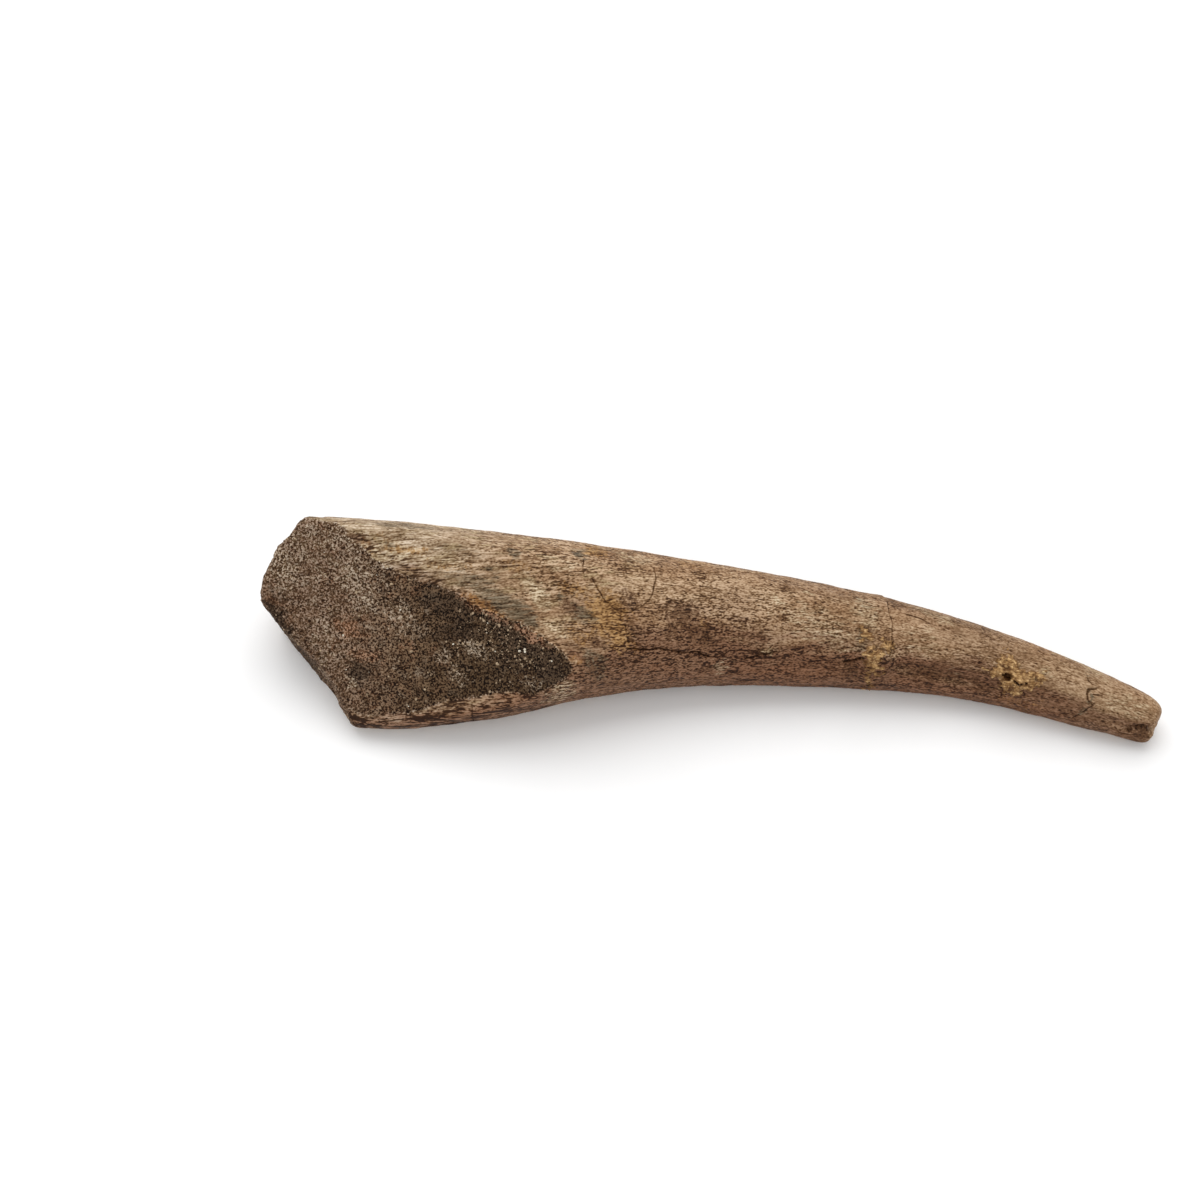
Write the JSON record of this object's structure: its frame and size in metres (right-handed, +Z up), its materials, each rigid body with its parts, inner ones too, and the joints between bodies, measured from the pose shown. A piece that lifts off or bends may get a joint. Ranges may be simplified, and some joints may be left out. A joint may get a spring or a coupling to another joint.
{
  "type": "dinosaur fossil claw",
  "caption": "Curved fossil bone core of a dinosaur toe claw, lying on its flank: long tapering shaft, blunt worn tip and a broad base with an oblique spongy break.",
  "frame": {"origin": "on the resting plane, under the middle of the claw's bounding box", "axes": "+X from the joint end to the tip, +Y towards the back (convex) edge of the claw, +Z up from the surface it lies on"},
  "size_m": [0.1266, 0.0288, 0.0207],
  "materials": {
    "fossil_bone": "dull mineralised bone: brown weathered cortex with fine lengthwise fibres, darker pitted spongy bone on the break, ochre sandstone crust"
  },
  "bodies": {
    "root": {"claw": "fossil_bone"}
  },
  "joints": []
}
